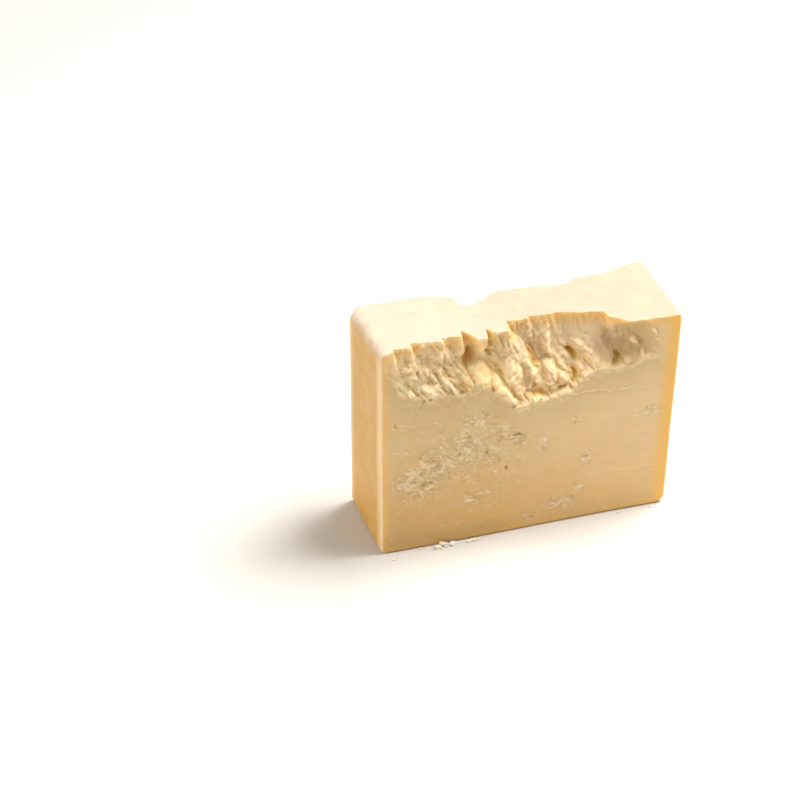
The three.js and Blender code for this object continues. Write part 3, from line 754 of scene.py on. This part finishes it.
def cut_relief(x, z, torn, seam, seam_strength):
    """Fine relief of the front cut, positive inwards: in torn patches small scabs with a
    pit above each, then single flakes, open seams and pits."""
    bent_x, bent_z = bent(x, z)
    least = SCAB_LEAST - SCAB_LESS_IF_TORN * torn
    scabs = smooth(knobbly("scabs", bent_x, bent_z, SCAB_LEAN) - least, *SCAB_RISE)
    holes = smooth(knobbly("scabs", bent_x, bent_z - HOLE_ABOVE, SCAB_LEAN) - least, *SCAB_RISE)
    lumps = knobbly("tear_lumps", bent_x, bent_z, LUMP_LEAN)
    tears = smooth(torn, *TORN_SHOWS) * (HOLE_DEPTH * holes - SCAB_HEIGHT * scabs - lumps)
    flap = bell(seam, *SEAM_GROOVE) - bell(seam, *SEAM_FLAP)
    flap = flap * seam_strength * (SEAM_LEAST + flaky("seam_flakes", bent_x, bent_z, SEAM_LEAN))
    return tears + flap + flake_relief(x, z) + gap_depth(x, z, PITS)


def cut_wave(x, z, wave):
    """Slow wave of a cut, never proud of its plane: a sine times a cosine, raised by one."""
    high, along, across, up = wave
    return high * (1 + np.sin(x / along + z / across) * np.cos(z / up))


def even_spacing(share):
    """Lines at even distances."""
    return np.ones(share.shape)


def layer_spacing(share):
    """Lines closer together near the two cuts."""
    return 0.16 + smooth(np.minimum(share, 1 - share), 0.1, 0.35)


def row_spacing(share):
    """Lines closer together at the base and in the break than on the plain part of the cut."""
    return 0.36 + 0.26 * smooth(share, 0.01, 0.04) * (1 - smooth(share, 0.40, 0.50))


def grid_lines(count, spacing):
    """Positions from 0 to 1 of count + 1 lines, from the spacing at each share."""
    steps = spacing((np.arange(count) + 0.5) / count)
    lines = np.concatenate([[0.0], np.cumsum(steps)])
    return lines / lines[-1]


def box_skin(columns, layers, rows):
    """Surface of a box of cells: the whole-number place of each point, and the faces,
    facing out. The back has every second line only, and a strip of five-sided faces
    joins it to the other sides."""
    shape = (columns + 1, layers + 1, rows + 1)
    place = np.indices(shape).reshape(3, -1)
    last = np.array(shape)[:, None] - 1
    skin = ((place == 0) | (place == last)).any(axis=0)
    skin &= (place[1] < layers) | ((place[0] % 2 == 0) & (place[2] % 2 == 0))
    number = np.cumsum(skin).reshape(shape) - 1

    def ordered(corners, flip):
        return np.stack([corner.ravel() for corner in (corners[::-1] if flip else corners)], axis=1)

    def quads(sheet, flip):
        return ordered([sheet[:-1, :-1], sheet[1:, :-1], sheet[1:, 1:], sheet[:-1, 1:]], flip)

    def strip(sheet, flip):
        fine, coarse = sheet[:, -2], sheet[::2, -1]
        return ordered([fine[:-2:2], fine[1:-1:2], fine[2::2], coarse[1:], coarse[:-1]], flip)

    ends = ((number[0].T, False), (number[-1].T, True))
    levels = ((number[:, :, 0], True), (number[:, :, -1], False))
    four_sided = [quads(number[:, 0, :], False), quads(number[::2, -1, ::2], True)]
    four_sided += [quads(sheet[:, :-1], flip) for sheet, flip in ends + levels]
    five_sided = [strip(sheet, flip) for sheet, flip in ends + levels]
    return place[:, skin], (np.concatenate(four_sided), np.concatenate(five_sided))


def rounded_corner(first, second, radius):
    """Rounds a corner: in the square beside it, each square ring becomes a round one."""
    inside = (first < radius) & (second < radius)
    to_first, to_second = radius - first, radius - second
    reach = np.maximum(np.hypot(to_first, to_second), 1e-9)
    pull = np.where(inside, np.maximum(to_first, to_second) / reach, 1)
    return (np.where(inside, radius - to_first * pull, first),
            np.where(inside, radius - to_second * pull, second))


def loaf_top(sizes, along, through):
    """Height of the loaf in mm: a straight mix of the heights of its four corners."""
    front = mix(sizes.top_left_front, sizes.top_right_front, along)
    back = mix(sizes.top_left_back, sizes.top_right_back, along)
    return mix(front, back, through) / MM


def slab_surface(sizes, relief):
    """Points of the slab, its faces and the masks that its finish reads.

    Each point of a box has a share along the length, through the thickness and up.
    The loaf's section has rounded corners, the right end leans in, and the two cut
    faces lie behind their planes by the depth of the break and of the fine marks.
    """
    place, faces = box_skin(sizes.columns, sizes.layers, sizes.rows)
    along = grid_lines(sizes.columns, even_spacing)[place[0]]
    through = grid_lines(sizes.layers, layer_spacing)[place[1]]
    up = grid_lines(sizes.rows, row_spacing)[place[2]]

    top = loaf_top(sizes, along, through)
    length, thickness = sizes.length / MM, sizes.thickness / MM
    worn = sizes.cut_edge_radius / MM
    left, right = along * length, (1 - along) * length
    front, back = through * thickness, (1 - through) * thickness
    base, crest = up * top, (1 - up) * top
    left, front = rounded_corner(left, front, worn)
    left, back = rounded_corner(left, back, worn)
    right, front = rounded_corner(right, front, worn)
    right, back = rounded_corner(right, back, worn)
    base, front = rounded_corner(base, front, worn)
    base, back = rounded_corner(base, back, worn)
    left, crest = rounded_corner(left, crest, sizes.top_left_radius / MM)
    right, crest = rounded_corner(right, crest, sizes.top_right_radius / MM)
    left, base = rounded_corner(left, base, sizes.base_left_radius / MM)
    right, base = rounded_corner(right, base, sizes.base_right_radius / MM)

    z = np.where(up < 0.5, base, top - crest)
    x = np.where(along < 0.5, left, length - right) - length / 2
    x = x - sizes.right_draft / MM * along * (1 - z / top)
    share = np.where(through < 0.5, front, thickness - back) / thickness

    front_depth, front_broken, clefts, chips, foot = front_break(x, z, top, relief)
    back_depth, back_broken = back_break(x, z, top, relief)
    torn = torn_share(x, z)
    seam, seam_strength = seam_offset(x, z)
    marks = cut_relief(x, z, torn, seam, seam_strength) * (1 - front_broken)
    front_cut = cut_wave(x, z, FRONT_WAVE) + front_depth + marks - thickness / 2
    back_cut = thickness / 2 - cut_wave(x, z, BACK_WAVE) - back_depth
    y = mix(front_cut, back_cut, share)
    height = z * loaf_top(sizes, along, y / thickness + 0.5) / top

    on_front, on_back = place[1] == 0, place[1] == sizes.layers
    on_cut = on_front | on_back
    # crown: how far each point stands proud of its blurred surroundings; the finish reads it to paint
    # shade in hollows and highlights on raised bits.
    crown = np.zeros(x.shape)
    for side, depth, shown, step in ((on_front, front_depth, front_broken, 1),
                                     (on_back, back_depth, back_broken, 2),
                                     (on_front, marks, 1 - front_broken, 1)):
        sheet = depth[side].reshape(sizes.columns // step + 1, sizes.rows // step + 1)
        crown[side] += (blurred(sheet, 4 // step) - sheet).ravel() * shown[side]
    sheet = front_depth[on_front].reshape(sizes.columns + 1, sizes.rows + 1)
    facing = np.zeros(x.shape)
    facing[on_front] = np.gradient(blurred(sheet, 1), length / sizes.columns, axis=0).ravel()
    gap = np.minimum(np.minimum(left, right), np.minimum(base, crest))
    masks = {
        "rind": np.where(on_cut, 0.0, 1.0),
        "rind_gap": np.where(on_cut, gap, 0),
        "right_gap": np.where(on_cut, right, FAR),
        "edge_gap": np.minimum(np.hypot(left, front), np.hypot(left, back)),
        "crest_gap": crest,
        "broken": np.where(on_front, front_broken, np.where(on_back, back_broken, 0)),
        "crown": crown,
        "cleft": np.where(on_front, clefts, 0),
        "chip": np.where(on_front, chips * front_broken, 0),
        "facing": facing,
        "foot_gap": np.where(on_front, foot - z, FAR_BELOW),
        "torn": np.where(on_front, torn * (1 - front_broken), 0),
        "seam": np.where(on_front, seam + FAR * front_broken, FAR),
    }
    return np.stack([x, y, height], axis=1) * MM, faces, masks


def mesh_piece(name, points, faces, masks):
    """Mesh object from arrays, with one point attribute for each mask, shaded smooth.

    The faces come as arrays of one row each, one array for each number of corners.
    """
    corners = np.concatenate([rows.ravel() for rows in faces])
    counts = np.concatenate([np.full(len(rows), rows.shape[1]) for rows in faces])
    mesh = bpy.data.meshes.new(name)
    mesh.vertices.add(len(points))
    mesh.vertices.foreach_set("co", points.astype(np.float32).ravel())
    mesh.loops.add(len(corners))
    mesh.loops.foreach_set("vertex_index", corners.astype(np.int32))
    mesh.polygons.add(len(counts))
    mesh.polygons.foreach_set("loop_start", (np.cumsum(counts) - counts).astype(np.int32))
    mesh.update(calc_edges=True)
    mesh.validate()
    for mask, values in masks.items():
        layer = mesh.attributes.new(mask, "FLOAT", "POINT")
        layer.data.foreach_set("value", values.astype(np.float32))
    mesh.polygons.foreach_set("use_smooth", np.ones(len(mesh.polygons), dtype=bool))
    piece = bpy.data.objects.new(name, mesh)
    bpy.context.scene.collection.objects.link(piece)
    return piece


class Finish:
    """A material's nodes, written as short steps, and the fields that its ramps read."""

    def __init__(self, name):
        self.material = bpy.data.materials.new(name)
        self.material.use_nodes = True
        self.tree = self.material.node_tree
        self.shader = self.tree.nodes["Principled BSDF"]
        self.place = self.add("ShaderNodeTexCoord").outputs["Object"]
        self.fields = {}

    def add(self, kind, **settings):
        node = self.tree.nodes.new(kind)
        for setting, value in settings.items():
            setattr(node, setting, value)
        return node

    def put(self, socket, value):
        """Links an output to a socket, or sets the socket's own value."""
        if isinstance(value, bpy.types.NodeSocket):
            self.tree.links.new(value, socket)
        elif hasattr(value, "__len__") and len(value) == 3 and socket.type == "RGBA":
            socket.default_value = (*value, 1)
        else:
            socket.default_value = value

    def math(self, operation, first, second=0.0):
        node = self.add("ShaderNodeMath", operation=operation)
        self.put(node.inputs[0], first)
        self.put(node.inputs[1], second)
        return node.outputs[0]

    def ramp(self, value, low, high, at_low=0, at_high=1):
        """Smooth change from one value to another as the input goes from low to high."""
        node = self.add("ShaderNodeMapRange", interpolation_type="SMOOTHSTEP")
        for name, setting in (("Value", value), ("From Min", low), ("From Max", high),
                              ("To Min", at_low), ("To Max", at_high)):
            self.put(node.inputs[name], setting)
        return node.outputs["Result"]

    def noise(self, size, stretch=(1, 1, 1), detail=3.0, roughness=0.55, lean=0.0):
        """Noise with features of the given size in mm, drawn out along the axes by stretch
        and leaning from upright."""
        mapping = self.add("ShaderNodeMapping")
        mapping.inputs["Rotation"].default_value = (0, lean, 0)
        mapping.inputs["Scale"].default_value = [1 / (size * MM * s) for s in stretch]
        self.put(mapping.inputs["Vector"], self.place)
        node = self.add("ShaderNodeTexNoise")
        self.put(node.inputs["Vector"], mapping.outputs["Vector"])
        node.inputs["Scale"].default_value = 1
        node.inputs["Detail"].default_value = detail
        node.inputs["Roughness"].default_value = roughness
        return node.outputs["Fac"]

    def blend(self, first, second, share):
        node = self.add("ShaderNodeMix", data_type="RGBA")
        self.put(node.inputs[0], share)
        self.put(node.inputs[6], first)
        self.put(node.inputs[7], second)
        return node.outputs[2]

    def share(self, *ramps):
        """Product of ramps, each given as a field, two of its values and what it gives there."""
        steps = [self.ramp(self.fields[field], *limits) for field, *limits in ramps]
        product = steps[0]
        for step in steps[1:]:
            product = self.math("MULTIPLY", product, step)
        return product

    def tinted(self, under, part, colours):
        """Colour with the tints of a part laid over it in order, each by its own share."""
        for label, _, *ramps in TINTS[part]:
            under = self.blend(under, getattr(colours, key(label)), self.share(*ramps))
        return under

    def set(self, **sockets):
        """Sets the shader's sockets, with spaces in their names written as underscores."""
        for name, value in sockets.items():
            self.put(self.shader.inputs[name.replace("_", " ")], value)


def cheese_fields(finish, masks):
    """Fields of the cheese's finish: coordinates, masks, noises, and what is made of them."""
    fields = finish.fields
    place = finish.add("ShaderNodeSeparateXYZ")
    finish.put(place.inputs[0], finish.place)
    fields.update(X=place.outputs["X"], Z=place.outputs["Z"])
    for name in masks:
        fields[name] = finish.add("ShaderNodeAttribute", attribute_name=name).outputs["Fac"]
    for name, settings in NOISES.items():
        fields[name] = finish.noise(**settings)
    fields["frayed"] = finish.math("MULTIPLY", fields["torn"], finish.share(FRAY))
    fields["seam_away"] = finish.math("ABSOLUTE", fields["seam"])
    fields["wall_share"] = finish.share(*ON_WALL)
    for name, (first, *ramps) in SUMS.items():
        fields[name] = finish.math("ADD", fields[first], finish.share(*ramps))
    return fields


def cheese_bump(finish):
    """Fine bump: crumb and fibre, fainter on the cut, streaks on the rind, grain, and specks
    where the cut is torn."""
    fields = finish.fields
    fray = finish.math("ADD", fields["crumb"], fields["fibre"])
    on_rind = finish.math("MULTIPLY", fields["rind"], STREAK_BUMP)
    streaks = finish.math("MULTIPLY", fields["streaks"], on_rind)
    relief = finish.math("ADD", finish.math("MULTIPLY", fray, finish.share(CRUMB_BUMP)), streaks)
    relief = finish.math("ADD", relief, finish.math("MULTIPLY", fields["grain"], GRAIN_BUMP))
    specks = finish.math("MULTIPLY", fields["specks"], finish.share(SPECK_BUMP))
    bump = finish.add("ShaderNodeBump")
    bump.inputs["Strength"].default_value = BUMP_STRENGTH
    bump.inputs["Distance"].default_value = BUMP_HEIGHT
    finish.put(bump.inputs["Height"], finish.math("ADD", relief, specks))
    return bump.outputs["Normal"]


def cheese_finish(colours, masks):
    """Paste, rind and break in one material, told apart by the slab's masks."""
    finish = Finish("cheese_paste_and_rind")
    fields = cheese_fields(finish, masks)

    paste = finish.tinted(colours.paste, "paste", colours)
    # Painted glow and shade: the hollows of the break take the hollow colour.
    hollow = finish.tinted(colours.hollow, "hollows", colours)
    crags = finish.blend(hollow, finish.tinted(colours.broken, "wall", colours), finish.share(FILLED))
    crags = finish.tinted(crags, "break", colours)
    inside = finish.tinted(finish.blend(paste, crags, fields["broken"]), "inside", colours)

    side = finish.tinted(colours.rind, "sides", colours)
    crust = finish.tinted(colours.rind_top, "top", colours)
    skin = finish.tinted(finish.blend(side, crust, finish.share(CRUSTED)), "rind", colours)
    shown = finish.tinted(finish.blend(inside, skin, fields["rind"]), "edges", colours)

    rougher = finish.math("MULTIPLY", fields["broken"], BROKEN_ROUGHER)
    rough = finish.math("ADD", finish.share(ROUGHNESS), rougher)
    finish.set(Base_Color=shown, Roughness=rough, Normal=cheese_bump(finish), **GLOW, **SHINE)
    return finish.material


def crumb_finish(colours):
    """Dry, pale crumb with a little mottling."""
    finish = Finish("cheese_crumb")
    finish.fields["mottle"] = finish.noise(**CRUMB_MOTTLE)
    spots = finish.share(CRUMB_SPOTS)
    finish.set(Base_Color=finish.blend(colours.crumb, colours.crumb_pale, spots),
               Roughness=finish.ramp(spots, 0, 1, *CRUMB_ROUGHNESS), **CRUMB_GLOW)
    return finish.material


def crumb_surface():
    """Loose crumbs: small stones with flat sides, resting on the floor.

    A crumb is a ball cut by flat sides at scattered angles: along each ray it ends
    at the first side it meets.
    """
    draw = np.random.default_rng(CRUMB_SEED)
    angle = np.arange(CRUMB_AROUND)[:, None] * 2 * math.pi / CRUMB_AROUND
    tilt = np.linspace(-0.5, 0.5, CRUMB_RISING)[None, :] * math.pi
    ray = np.stack([np.cos(tilt) * np.cos(angle), np.cos(tilt) * np.sin(angle), np.sin(tilt) + 0 * angle],
                   axis=-1)
    number = np.arange(CRUMB_AROUND * CRUMB_RISING).reshape(CRUMB_AROUND, CRUMB_RISING)
    ring = np.concatenate([number, number[:1]])
    quads = np.stack([ring[:-1, :-1], ring[1:, :-1], ring[1:, 1:], ring[:-1, 1:]], axis=-1).reshape(-1, 4)
    sheets = []
    for x, y, length, width, height, turn in CRUMBS:
        facing = draw.normal(size=(CRUMB_SIDES, 3))
        facing = facing / np.linalg.norm(facing, axis=1, keepdims=True)
        reach = draw.uniform(*CRUMB_REACH, CRUMB_SIDES)
        slant = np.maximum(ray @ facing.T, CRUMB_LEAST_SLANT)
        stone = ray * np.min(reach / slant, axis=-1, keepdims=True)
        px, py, pz = np.moveaxis(stone * np.array((length, width, height)) / 2, -1, 0)
        c, s = math.cos(math.radians(turn)), math.sin(math.radians(turn))
        points = np.stack([x + c * px - s * py, y + s * px + c * py, pz - pz.min()], axis=-1)
        sheets.append(points.reshape(-1, 3))
    faces = np.concatenate([quads + k * number.size for k in range(len(CRUMBS))])
    return np.concatenate(sheets) * MM, [faces]


class ASIAGO_OT_slab(bpy.types.Operator):
    """Build the slab of cheese"""

    bl_idname = "asiago.slab"
    bl_label = "Slab"

    def execute(self, context):
        settings = context.scene
        points, faces, masks = slab_surface(settings.asiago_slab, settings.asiago_break)
        slab = mesh_piece("asiago_slab", points, faces, masks)
        slab.data.materials.append(cheese_finish(settings.asiago_colours, masks))
        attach(slab, "root")
        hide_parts("cheese")
        return {"FINISHED"}


class ASIAGO_OT_crumbs(bpy.types.Operator):
    """Build the loose crumbs at the foot of the slab"""

    bl_idname = "asiago.crumbs"
    bl_label = "Crumbs"

    def execute(self, context):
        points, faces = crumb_surface()
        crumbs = mesh_piece("asiago_crumbs", points, faces, {})
        crumbs.data.materials.append(crumb_finish(context.scene.asiago_colours))
        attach(crumbs, "root")
        return {"FINISHED"}


def aimed(obj, place, target):
    """Puts a light or camera at a place and points it at a target."""
    obj.location = place
    obj.rotation_euler = (Vector(target) - Vector(place)).to_track_quat("-Z", "Y").to_euler()


def soft_light(name, place, target, size, power, colour):
    """Square area light."""
    lamp = bpy.data.lights.new(name, "AREA")
    lamp.size = size
    lamp.energy = power
    lamp.color = colour
    light = bpy.data.objects.new(name, lamp)
    bpy.context.scene.collection.objects.link(light)
    aimed(light, place, target)


class ASIAGO_OT_stage(bpy.types.Operator):
    """Set the floor, the soft lights and the camera"""

    bl_idname = "asiago.stage"
    bl_label = "Stage"

    def execute(self, context):
        scene = context.scene
        stage = scene.asiago_stage
        corners = np.array(((-1, -1, 0), (1, -1, 0), (1, 1, 0), (-1, 1, 0))) * stage.floor_reach
        floor = mesh_piece("floor", corners, [np.array(((0, 1, 2, 3),))], {})
        finish = Finish("floor_paper")
        finish.set(Base_Color=stage.floor, Roughness=FLOOR_ROUGHNESS)
        floor.data.materials.append(finish.material)

        soft_light("key", stage.key_place, stage.aim, stage.key_size, stage.key_power, stage.key_colour)
        soft_light("left_fill", stage.fill_place, stage.aim, stage.fill_size, stage.fill_power,
                   stage.fill_colour)

        world = bpy.data.worlds.new("studio")
        world.use_nodes = True
        world.node_tree.nodes["Background"].inputs["Color"].default_value = (1, 1, 1, 1)
        world.node_tree.nodes["Background"].inputs["Strength"].default_value = stage.sky
        scene.world = world
        scene.view_settings.view_transform = "Standard"
        scene.view_settings.look = "None"

        camera = bpy.data.objects.new("camera", bpy.data.cameras.new("camera"))
        scene.collection.objects.link(camera)
        camera.data.sensor_width = SENSOR_WIDTH
        camera.data.lens = stage.lens
        back = Vector((math.sin(stage.azimuth) * math.cos(stage.elevation),
                       -math.cos(stage.azimuth) * math.cos(stage.elevation),
                       math.sin(stage.elevation)))
        aimed(camera, Vector(stage.target) + back * stage.distance, stage.target)
        scene.camera = camera
        return {"FINISHED"}


class ASIAGO_PT_panel(bpy.types.Panel):
    """Lists the slab's sizes, colours and pieces"""

    bl_idname = "ASIAGO_PT_panel"
    bl_label = "Asiago slab"
    bl_space_type = "VIEW_3D"
    bl_region_type = "UI"
    bl_category = "Asiago"

    def draw(self, context):
        scene = context.scene
        for group in (scene.asiago_slab, scene.asiago_break, scene.asiago_colours, scene.asiago_stage):
            box = self.layout.box()
            for name in group.__annotations__:
                box.prop(group, name)
        for operator in (ASIAGO_OT_slab, ASIAGO_OT_crumbs, ASIAGO_OT_stage):
            self.layout.operator(operator.bl_idname)


GROUPS = {
    "asiago_slab": SlabSizes,
    "asiago_break": BreakSizes,
    "asiago_colours": CheeseColours,
    "asiago_stage": StageSettings,
}
OTHERS = (ASIAGO_OT_slab, ASIAGO_OT_crumbs, ASIAGO_OT_stage, ASIAGO_PT_panel)


def register():
    for name, group in GROUPS.items():
        bpy.utils.register_class(group)
        setattr(bpy.types.Scene, name, bpy.props.PointerProperty(type=group))
    for cls in OTHERS:
        bpy.utils.register_class(cls)


def unregister():
    for cls in reversed(OTHERS):
        bpy.utils.unregister_class(cls)
    for name, group in GROUPS.items():
        delattr(bpy.types.Scene, name)
        bpy.utils.unregister_class(group)


def main():
    register()
    bpy.ops.asiago.slab()
    bpy.ops.asiago.crumbs()
    bpy.ops.asiago.stage()


if __name__ == "__main__":
    main()
